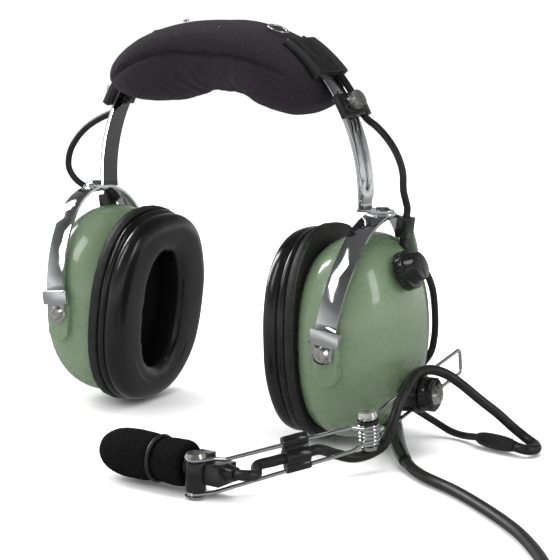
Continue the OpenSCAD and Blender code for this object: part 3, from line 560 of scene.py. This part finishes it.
def coil_path():
    """The main cord from the end of its free run: six turns in two layers, then out to the plug."""
    columns = [34.4, 29.0, 23.6, 23.6, 29.0, 34.4, 34.4]
    layers = [2.65, 2.65, 2.65, 7.95, 7.95, 7.95, 13.2]
    start, last = 191.7, 300 - 191.7
    shift, climb_end = 17.0, 30.0
    points = []
    total = 360 * 6 + last
    angle = 0.0
    while angle <= total:
        k = int(angle // 360)
        part = angle - 360 * k
        r, z = columns[min(k, 6)], layers[min(k, 6)]
        if part < shift and k > 0:
            r = columns[k - 1] + (r - columns[k - 1]) * smoothstep(0.5 + part / (2 * shift))
        if part > 360 - shift and k < 6:
            r = r + (columns[k + 1] - r) * smoothstep((part - 360 + shift) / (2 * shift))
        if k < 6 and layers[k + 1] > layers[k] and part > 360 - shift - climb_end - 40:
            climb = smoothstep((part - 360 + shift + climb_end + 40) / 40)
            z = layers[k] + (layers[k + 1] - layers[k]) * climb
        a = math.radians(start + angle)
        points.append((COIL_AT[0] + r * math.cos(a), COIL_AT[1] + r * math.sin(a), z))
        angle += 6
    points += [(PLUG_AT[0] - 9, PLUG_AT[1] - 9.5, 9.4), (PLUG_AT[0] - 1.8, PLUG_AT[1] - 4.6, 7), PLUG_AT]
    return points


# Plug at the end of the main cord: moulded handle and a metal shaft with rings
plug_matrix = Matrix.Translation(at(PLUG_AT)) @ turn(-90, "X") @ Matrix.Scale(MM, 4)
handle = [(0.5, 0), (3.2, 0.05), (3.5, 1.5), (3.2, 2.2), (3.7, 3.4), (3.5, 4.2), (4.2, 5.4), (4.1, 6.2),
          (5.2, 8), (5.7, 9.5), (5.8, 12)] + [(5.8 - 0.25 * (k % 2), 13 + k) for k in range(14)] + \
         [(5.8, 28), (5.7, 32.5), (5.2, 33.8), (0.5, 33.9)]
plug_body = paint(lathe("phone_plug_handle", handle, plug_matrix), GLOSS)
shaft = [(0.5, 33.7), (4.3, 33.8), (4.3, 36), (3.4, 36.1), (3.4, 49), (3.1, 49.2), (3.1, 50), (3.4, 50.2),
         (3.4, 56), (3.1, 56.2), (3.1, 57), (3.4, 57.2), (3.45, 59), (2.2, 60.4), (2.6, 61.6),
         (1.6, 62.6), (0.4, 62.8)]
plug_shaft = paint(lathe("phone_plug_shaft", shaft, plug_matrix), NICKEL)
for piece in (plug_body, plug_shaft):
    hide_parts("phone_plug")
    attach(piece, "cup_right")

main_path = [at(p) for p in spline(MAIN_ROUTE[:-1] + [(260.6, -155.5, 2.7), (262.2, -167, 2.66)]
                                   + coil_path(), 3)]
free_cord("main_cord_run", main_path, MAIN_D, ["main_cord", "main_coil"], body="cup_right")

# Moulded strain relief of the main cord
boot_path = [at(p) for p in spline(BOOT_ROUTE, 1.2)]
boot_end = MAIN_D / 2 + 0.5
boot_radii = [(BOOT_D / 2 + (boot_end - BOOT_D / 2) * i / (len(boot_path) - 1)) * MM
              for i in range(len(boot_path))]
boot = paint(tube("cord_boot_moulded", boot_path, boot_radii, 24), GLOSS)
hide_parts("cord_boot")
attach(boot, "cup_right")

# One smooth line for the microphone cord, cut where its bodies meet
mic_points = [Vector(p) for p in MIC_ROUTE[0]]
cuts = [0]
for route in MIC_ROUTE[1:]:
    cuts.append(len(mic_points) - 1)
    mic_points += [Vector(p) for p in route[1:]]
mic_line = [at(p) for p in spline(mic_points, 1.5)]
marks = [min(range(len(mic_line)), key=lambda i: (mic_line[i] - at(mic_points[c])).length) for c in cuts]
marks.append(len(mic_line) - 1)
mic_parts = [mic_line[a:b + 1] for a, b in zip(marks, marks[1:])]

# Tapered join between the microphone cord and the short lead, with flats along it
tip, end = at(PLUG_TIP), at(PLUG_END)
along = (end - tip).normalized()
across = along.cross(Vector((0, 0, 1))).normalized()
rise = across.cross(along)
profile = [(-0.6, 2.1), (0, 2.5), (1.2, 3.1), (3, 3.6), (7, 4.1), (12, 4.25), (17, 4.1), (20.5, 3.7),
           (22, 3.2), (24.2, 2.9)]
rings = []
for s, r in profile:
    ring = []
    for k in range(16):
        t = 2 * math.pi * (k + 0.5) / 16
        flat = r * (1.0 if k % 2 else 0.965)
        ring.append(tip + along * s * MM + (across * math.cos(t) + rise * math.sin(t) * 0.92) * flat * MM)
    rings.append(ring)
join = paint(skin("inline_plug_moulded", rings), MATTE)
set_smooth(join, 18)
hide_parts("inline_plug")
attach(join, "cup_right")

free_cord("mic_cord_a", mic_parts[0], MIC_D, ["mic_cord_front"],
          blend=("microphone", "boom_front", at(mic_points[1]), at(clip_cord(-12))))
free_cord("mic_cord_b", mic_parts[1], MIC_D, ["mic_cord_rear"],
          blend=("boom_front", "boom_rear", at(clip_cord(8)), at((117.5, -47.5, 8.6))))
free_cord("mic_cord_c", mic_parts[2], MIC_D, ["mic_cord_over"],
          blend=("boom_rear", "boom_clamp", at((122.4, -40, 17)), at((121.2, -16, 39.3))))
free_cord("mic_cord_d", mic_parts[3], MIC_D, ["mic_cord_loop"],
          blend=("boom_clamp", "cup_right", at((121, -3, 40)), at((152, 28, 10))))
free_cord("plug_lead_cord", [at(p) for p in spline(LEAD_ROUTE, 1.5)], THIN_D, ["plug_lead"], body="cup_right")

# Cord over the head: hidden under the pad, through the sleeves, then in a free loop to each clip
CORD_R, CORD_Y = STRIP_R1 + 1.3, STRIP_W / 2 + THIN_D / 2 + 0.4
YOKE_W = 11
LEAN = math.degrees(math.atan(PIVOT_IN / (PLATE_TOP - 1.6 - PIVOT_Z)))
CLIP_U = YOKE_W / 2 + 3.2
CLIP_Y, CLIP_W = {1: 9, -1: 21}, {1: 57, -1: 52}
LOOPS = {
    1: [(79, 7.5, 160.5), (85.5, 7, 156.5), (92.5, 6.5, 150.5), (98, 6, 143.5), (101.3, 6, 135),
        (101.5, 6.5, 126)],
    -1: [(79.5, 8, 159.5), (87, 7, 155.5), (96, 6, 151.5), (105, 6, 146.5), (113, 6, 139.5), (118.5, 6, 131),
         (120, 7, 122), (116, 10, 114.5), (109, 15, 110.5)],
}
DROP = [(20.5, 20, 35), (23, 26.5, 24), (22.5, 31.5, 10), (20.5, 35, -4), (17, 37, -14), (12, 34, -21),
        (6, 30, -25)]


def arc_point(a, sink=0.0):
    a, r = math.radians(a), CORD_R + sink
    return (r * math.cos(a), CORD_Y, ARCH_Z + r * math.sin(a))


def clip_on_arm(side, w):
    p = turned((CLIP_U, CLIP_Y[side], w), LEAN)
    x, a = p[0] - PIVOT_IN, math.radians(side * SWIVEL)
    return (RIVET_X + x * math.cos(a) - p[1] * math.sin(a), x * math.sin(a) + p[1] * math.cos(a),
            PIVOT_Z + p[2])


def clip_on_cup(side, w):
    return turned((CLIP_U, CLIP_Y[side], w), LEAN + TILT[side])


top = paint(tube("crossover_inner", [at(arc_point(a, -2.5)) for a in range(66, 115, 2)],
                 THIN_D / 2 * MM, 12), RUBBER)
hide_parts("crossover_top")
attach(top, "headband")
for name, side in SIDES.items():
    to_row = slid_matrix(side)
    hidden = [to_row @ Vector(arc_point(a)) for a in range(62, 31, -2)]
    run = ([arc_point(a) for a in (37, 34, 31.5)] + LOOPS[side]
           + [clip_on_arm(side, CLIP_W[side] + w) for w in (9, 5, 0)])
    line = [to_row @ p for p in spline(run, 1.5)]
    first = min(range(len(line)), key=lambda i: (line[i] - to_row @ Vector(arc_point(31.5))).length)
    hidden = [to_row @ Vector(arc_point(a)) for a in (62, 59, 56, 53, 50, 47, 44, 41, 39)] + line[:first + 1]
    inner = paint(tube(f"crossover_sleeve_{name}", hidden, THIN_D / 2 * MM, 12), RUBBER)
    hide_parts(f"crossover_{name}")
    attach(inner, f"arm_{name}")
    free_cord(f"crossover_loop_{name}", line[first:], THIN_D, [f"crossover_{name}"],
              blend=(f"arm_{name}", f"yoke_{name}", line[first + 12], line[-10]))
    drop = [clip_on_cup(side, CLIP_W[side] + w) for w in (0, -5, -9)] + DROP
    drop = [cup_matrix(side) @ p for p in spline(drop, 1.5)]
    free_cord(f"cup_cord_run_{name}", drop, THIN_D, [f"cup_cord_{name}"],
              blend=(f"yoke_{name}", f"cup_{name}", drop[6], drop[len(drop) // 2]))

# ---- Domes ----


def dome_scale(u, depth):
    if u < BULGE_U:
        return 1 - 0.09 * ((BULGE_U - u) / (BULGE_U - RIM_U)) ** 2
    return max(0.0, 1 - ((u - BULGE_U) / (depth - BULGE_U)) ** 2.2) ** (1 / 2.2)


def dome_ring(u, wall):
    k = dome_scale(u, DOME_D - wall)
    return station(u, (DOME_A - wall) * k, (DOME_B - wall) * k, 2.3, DOME_MID + DOME_LIFT * (u - BULGE_U))


def dome_layer(wall):
    depth = DOME_D - wall - BULGE_U
    angles = [87.5, 85, 82] + list(range(78, 0, -4))
    rings = [dome_ring(BULGE_U + depth * math.sin(math.radians(t)), wall) for t in angles]
    return rings + [dome_ring(BULGE_U + (RIM_U - BULGE_U) * k / 8, wall) for k in range(9)]


def boss(name, y, matrix):
    """Moulded pad on the dome's side under a pivot screw, with a stepped edge."""
    rings = []
    top_y = PIVOT_Y - 0.5
    for h, grow in ((30, 0), (top_y - 0.8, 0), (top_y - 0.25, -0.25), (top_y, -0.8)):
        r = 6.5 + grow
        ring = []
        for k in range(33):
            t = math.pi * k / 32
            ring.append((r * math.cos(t), y * h, r * math.sin(t)))
        for k in range(33):
            t = math.pi + math.pi * k / 32
            ring.append((r * math.cos(t), y * h, -10 + r * math.sin(t)))
        rings.append(ring)
    obj = paint(skin(name, rings, matrix), DOME)
    set_smooth(obj, 40)
    return obj


for name, side in SIDES.items():
    matrix = cup_matrix(side)
    body = f"cup_{name}"
    outer, inner = dome_layer(0), dome_layer(DOME_WALL)
    lip = [dome_ring(RIM_U, 0.5), dome_ring(RIM_U, 1.4)]
    dome = skin(f"dome_shell_{name}", outer + lip + inner[::-1], matrix)
    paint(dome, DOME)
    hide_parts(f"dome_{name}")
    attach(dome, body)
    for tag, y in (("front", -1), ("back", 1)):
        lug = boss(f"dome_boss_{tag}_{name}", y, matrix)
        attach(lug, body)

# ---- Ear seals ----
SEAL_STATIONS = [
    (PLATE_U, SEAL_A - 4.2, SEAL_B - 3.2, 2.35, SEAL_MID),
    (PLATE_U - 0.9, SEAL_A - 1.8, SEAL_B - 1.2, 2.35, SEAL_MID),
    (PLATE_U - 2.6, SEAL_A - 1.2, SEAL_B - 0.3, 2.35, SEAL_MID),
    (PLATE_U - 4.3, SEAL_A - 1.9, SEAL_B - 1.0, 2.35, SEAL_MID),
    (PLATE_U - 5.0, SEAL_A - 3.3, SEAL_B - 2.3, 2.35, SEAL_MID),
    (PLATE_U - 5.8, SEAL_A - 2.6, SEAL_B - 0.8, 2.35, SEAL_MID),
    (-31, SEAL_A - 2.2, SEAL_B, 2.35, SEAL_MID),
    (-34.5, SEAL_A - 3.0, SEAL_B - 0.9, 2.37, SEAL_MID),
    (FACE_U + 0.8, SEAL_A - 6.5, SEAL_B - 5, 2.4, SEAL_MID),
    (FACE_U - 0.2, SEAL_A - 11.5, SEAL_B - 11.5, 2.45, SEAL_MID),
    (FACE_U + 0.5, OPEN_A + 4.4, OPEN_B + 4.4, 2.5, OPEN_MID),
    (FACE_U + 2.8, OPEN_A + 0.9, OPEN_B + 0.9, 2.6, OPEN_MID),
    (FACE_U + 6, OPEN_A, OPEN_B, 2.6, OPEN_MID),
    (PLATE_U - 3, OPEN_A + 0.8, OPEN_B + 0.8, 2.6, OPEN_MID),
    (PLATE_U, OPEN_A + 1, OPEN_B + 1, 2.6, OPEN_MID),
]
for name, side in SIDES.items():
    matrix = cup_matrix(side)
    profile = spline([Vector((s[0], s[1], s[2])) for s in SEAL_STATIONS], 0.9)
    rings = []
    for point in profile:
        inner_side = point[2] < (OPEN_B + SEAL_B) / 2 - 2
        rings.append(station(point[0], point[1], point[2], 2.55 if inner_side else 2.37,
                             OPEN_MID if inner_side else SEAL_MID, 128))
    seal = skin(f"ear_cushion_{name}", rings, None, closed=True)
    co = coords(seal)
    for i, (u, y, z) in enumerate(co):
        a = math.atan2(z - OPEN_MID, y)
        rim = math.exp(-((u - FACE_U - 2.5) / 3.0) ** 2)
        close = math.exp(-((math.hypot(y / (OPEN_B + 2), (z - OPEN_MID) / (OPEN_A + 2)) - 1) / 0.22) ** 2)
        fold = noise.noise(Vector((math.cos(a) * 6 + side * 3, math.sin(a) * 9, 0.5)))
        soft = noise.noise(Vector((u * 0.06, y * 0.05 + side * 9, z * 0.05)))
        co[i] += np.array([0.55 * fold * rim * close + 0.35 * soft, 0, 0])
    set_coords(seal, co)
    seal.data.transform(matrix)
    if matrix.determinant() < 0:
        seal.data.flip_normals()
    paint(seal, VINYL)
    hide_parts(f"ear_seal_{name}")
    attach(seal, f"cup_{name}")
    # Rolled rubber edge over the plate, between the cushion and the dome
    roll = [station(PLATE_U + 2.3 + 2.75 * math.sin(t), SEAL_A - 1.1 + 1.2 * math.cos(t),
                    SEAL_B - 1.3 + 1.2 * math.cos(t), 2.35, SEAL_MID)
            for t in [2 * math.pi * k / 14 for k in range(14)]]
    edge = paint(skin(f"seal_roll_{name}", roll, matrix, closed=True), MATTE)
    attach(edge, f"cup_{name}")
    # Acoustic foam behind the opening
    pores = []
    for u, k in ((-18.6, 1.0), (-20.5, 1.0), (-21.3, 0.98), (-21.6, 0.9), (-21.3, 0.7), (-21.6, 0.45),
                 (-21.4, 0.2), (-21.5, 0.05)):
        pores.append(station(u, (OPEN_A + 1.9) * k, (OPEN_B + 2.9) * k, 2.35, OPEN_MID, 64))
    liner = paint(skin(f"ear_liner_{name}", pores, matrix), FOAM)
    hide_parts(f"ear_foam_{name}")
    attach(liner, f"cup_{name}")

# ---- Windscreen ----
foam_r = FOAM_D / 2
foam_profile = [
    (6.05, 0.3), (foam_r - 3.2, 0), (foam_r - 1.4, 1.2), (foam_r - 0.8, 4), (foam_r - 0.7, 8),
    (foam_r - 1, 13), (foam_r - 2, 16.2), (foam_r - 2.1, 17.3), (foam_r - 2, 18.4), (foam_r - 0.8, 20.4),
    (foam_r - 0.1, 25), (foam_r, 32), (foam_r - 0.3, 38), (foam_r - 1.6, 44), (foam_r - 4, 48.4),
    (foam_r - 7.4, FOAM_L - 0.9), (1.5, FOAM_L), (0.3, FOAM_L),
]
foam_line = [(p[0], p[1]) for p in spline([Vector((r, h, 0)) for r, h in foam_profile], 0.45)]
foam_matrix = (Matrix.Translation(at((MIC_AT[0] - 7.6, MIC_AT[1] + FOAM_Y, MIC_AT[2] + FOAM_Z)))
               @ turn(-90, "Y") @ Matrix.Scale(MM, 4))
foam = lathe("mic_windscreen", foam_line, foam_matrix, 160)
co = coords(foam)
centre = np.array(foam_matrix.translation)
for i, p in enumerate(co):
    away = np.array([0, p[1] - centre[1], p[2] - centre[2]])
    reach = np.linalg.norm(away)
    if reach > 0.0065:
        pore = noise.noise(Vector(p * 900)) + 0.6 * noise.noise(Vector(p * 1700))
        lump = noise.noise(Vector(p * 130))
        co[i] += away / reach * (0.00016 * pore + 0.00025 * lump)
set_coords(foam, co)
paint(foam, FOAM)
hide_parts("windscreen")
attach(foam, "microphone")

# ---- Head pad ----


def pad_ring(deg, shrink):
    s = abs(90 - deg) / PAD_HALF_SPAN
    round_off = (1 - s ** 6) ** 0.4 if s < 1 else 0.0
    r1 = STRIP_R1 + 2 + (3 * smoothstep(s / 0.6) + 9 * s ** 2.6 if deg > 90 else 0)
    h = (PAD_H / 2) * (0.93 + (0.16 if deg > 90 else 0.07) * smoothstep((s - 0.15) / 0.5) - 0.12 * s ** 4)
    half = PAD_W / 2 * round_off - shrink
    mid = r1 - h * (0.75 + 0.25 * round_off)
    a = math.radians(deg)
    ring = []
    for y, z in outline(max(h * round_off - shrink, 0.5), max(half, 0.5), 2.7, mid, 48):
        ring.append((z * math.cos(a), y, ARCH_Z + z * math.sin(a)))
    return ring


def inflate(obj, voxel, pressure, cap):
    """Remeshes a closed form, lets cloth pressure fill it, and keeps each point within the cap."""
    remesh = obj.modifiers.new("Remesh", "REMESH")
    remesh.mode = "VOXEL"
    remesh.voxel_size = voxel
    bake(obj)
    rest = coords(obj)
    cloth = obj.modifiers.new("Cloth", "CLOTH")
    cloth.settings.quality = 6
    cloth.settings.mass = 0.2
    cloth.settings.tension_stiffness = 12
    cloth.settings.compression_stiffness = 12
    cloth.settings.shear_stiffness = 5
    cloth.settings.bending_stiffness = 0.4
    cloth.settings.use_pressure = True
    cloth.settings.uniform_pressure_force = pressure
    cloth.settings.effector_weights.gravity = 0
    cloth.collision_settings.use_collision = False
    for step in range(1, 21):
        scene.frame_set(step)
    bake(obj)
    scene.frame_set(1)
    moved = coords(obj) - rest
    reach = np.linalg.norm(moved, axis=1, keepdims=True)
    set_coords(obj, rest + moved * np.minimum(1, cap / np.maximum(reach, 1e-9)))
    subdivide = obj.modifiers.new("Subdivision", "SUBSURF")
    subdivide.levels = subdivide.render_levels = 2
    bake(obj)


PAD_STEPS, PAD_SHRINK = 40, 1.6
pad_from, pad_sweep = PAD_END + 0.8, 179.2 - 2 * PAD_END - 0.8
pad_rings = [[at(p) for p in pad_ring(pad_from + pad_sweep * k / PAD_STEPS, PAD_SHRINK)]
             for k in range(PAD_STEPS + 1)]
pad = skin("head_pad_cover", pad_rings)
inflate(pad, voxel=0.0045, pressure=4, cap=0.006)
co = coords(pad)
hub = np.array(at((0, 0, ARCH_Z)))
for i, p in enumerate(co):
    x, y, z = (p[0] - hub[0]) / MM, (p[1] - hub[1]) / MM, (p[2] - hub[2]) / MM
    r, a = math.hypot(x, z), math.degrees(math.atan2(z, x))
    out = np.array([x / r, 0, z / r])
    low = smoothstep((STRIP_R1 - 6 - r) / 18)
    # Pull-in along the lengthwise seams on the front and back, low on the side
    share = abs(90 - a) / PAD_HALF_SPAN
    seam_at = STRIP_R1 - 14 + 14 * share ** 2 + 2 * noise.noise(Vector((a * 0.03, 0, 2)))
    seam = math.exp(-((r - seam_at) / 1.3) ** 2) * smoothstep((abs(y) - 20) / 8)
    # Gathers that run from the seam under the middle
    gather = (noise.noise(Vector((a * 0.16, y * 0.012, r * 0.03)))
              + 0.5 * noise.noise(Vector((a * 0.4, y * 0.03, 7))))
    middle = math.exp(-((a - 92) / 26) ** 2)
    swell = noise.noise(Vector((x * 0.03, y * 0.03, z * 0.03 + 5)))
    inward = np.array([0, -math.copysign(1, y), 0])
    co[i] = p + (inward * 2.4 * seam + out * (1.5 * gather * low * (0.35 + middle) + 0.8 * swell)) * MM
set_coords(pad, co)


def band(name, r0, r1, width, a0, a1, mid=0.0):
    """Closed band bent round the headband arc, used to cut the pad's tunnel."""
    rings = []
    for k in range(25):
        a = math.radians(a0 + (a1 - a0) * k / 24)
        rings.append([at((r * math.cos(a), mid + y, ARCH_Z + r * math.sin(a)))
                      for r, y in ((r0, -width / 2), (r1, -width / 2), (r1, width / 2), (r0, width / 2))])
    return skin(name, rings, smooth=False)


for k, (a0, a1) in enumerate(((PAD_END - 14, SLEEVE_HIGH + 0.5), (179.5 - SLEEVE_HIGH, 194 - PAD_END))):
    tool = band(f"tunnel_{k}", STRIP_R0 - 1.6, STRIP_R1 + (9 if k == 0 else 5), STRIP_W + 13, a0, a1, 1)
    cut = pad.modifiers.new("Tunnel", "BOOLEAN")
    cut.operation = "DIFFERENCE"
    cut.solver = "EXACT"
    cut.object = tool
    bake(pad)
    bpy.data.objects.remove(tool)
set_smooth(pad, 60)
paint(pad, JERSEY)
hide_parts("head_pad")
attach(pad, "headband")


# ---- Floor, light and world ----
def room_finish():
    """Light of the room by height: pale round the horizon, dark above."""
    mat = bpy.data.materials.new("room")
    mat.use_nodes = True
    tree = mat.node_tree
    tree.nodes.clear()
    place = tree.nodes.new("ShaderNodeTexCoord")
    split = tree.nodes.new("ShaderNodeSeparateXYZ")
    height = tree.nodes.new("ShaderNodeMapRange")
    height.inputs["From Min"].default_value = -4
    height.inputs["From Max"].default_value = 4
    shade = tree.nodes.new("ShaderNodeValToRGB")
    stops = [(0.0, 0.25), (0.42, 0.32), (0.52, 0.8), (0.6, 0.42), (0.7, 0.16), (0.88, 0.07), (1.0, 0.12)]
    while len(shade.color_ramp.elements) < len(stops):
        shade.color_ramp.elements.new(0.5)
    for element, (at_height, level_of_light) in zip(shade.color_ramp.elements, stops):
        element.position = at_height
        element.color = (*grey(level_of_light), 1)
    glow = tree.nodes.new("ShaderNodeEmission")
    out = tree.nodes.new("ShaderNodeOutputMaterial")
    tree.links.new(place.outputs["Object"], split.inputs["Vector"])
    tree.links.new(split.outputs["Z"], height.inputs["Value"])
    tree.links.new(height.outputs["Result"], shade.inputs["Fac"])
    tree.links.new(shade.outputs["Color"], glow.inputs["Color"])
    tree.links.new(glow.outputs["Emission"], out.inputs["Surface"])
    return mat


floor_finish = Finish("floor_paper", grey(0.96), 0.8, specular=0.1)
floor_finish.colour(floor_finish.noise(6, 2), [(0.3, grey(0.955)), (0.7, grey(0.965))])
floor = link("floor", [(-6, -6, -0.0006), (6, -6, -0.0006), (6, 6, -0.0006), (-6, 6, -0.0006)],
             [(0, 1, 2, 3)], False)
paint(floor, floor_finish.mat)
floor.visible_glossy = False

middle = Vector((0, 0.02, 0.1))
# A room round the object, pale at the horizon and dark above, seen only in reflections
room_mesh = bpy.data.meshes.new("dark_room")
bm = bmesh.new()
bmesh.ops.create_uvsphere(bm, u_segments=32, v_segments=16, radius=4)
bm.to_mesh(room_mesh)
bm.free()
room = bpy.data.objects.new("dark_room", room_mesh)
scene.collection.objects.link(room)
room_mesh.materials.append(room_finish())
room.visible_camera = room.visible_diffuse = room.visible_shadow = room.visible_transmission = False


def softbox(name, place, size, energy, target=middle):
    light = bpy.data.lights.new(name, "AREA")
    light.shape = "RECTANGLE"
    light.size, light.size_y = size
    light.energy = energy
    obj = bpy.data.objects.new(name, light)
    scene.collection.objects.link(obj)
    obj.location = place
    obj.rotation_mode = "QUATERNION"
    obj.rotation_quaternion = (Vector(target) - Vector(place)).to_track_quat("-Z", "Y")
    return obj


softbox("key", (-0.55, -1.0, 1.15), (0.5, 0.9), 6)
softbox("side", (1.35, 0.15, 0.75), (0.35, 0.9), 3.5)
softbox("top", (-0.1, 0.3, 1.5), (1.3, 0.9), 22).visible_glossy = False
softbox("rim_left", (-1.25, 0.0, 0.8), (0.4, 1.0), 15)

world = bpy.data.worlds.new("world")
world.use_nodes = True
world.node_tree.nodes["Background"].inputs["Color"].default_value = (1, 1, 1, 1)
world.node_tree.nodes["Background"].inputs["Strength"].default_value = 1.06
scene.world = world
scene.view_settings.view_transform = "Standard"
scene.view_settings.look = "None"
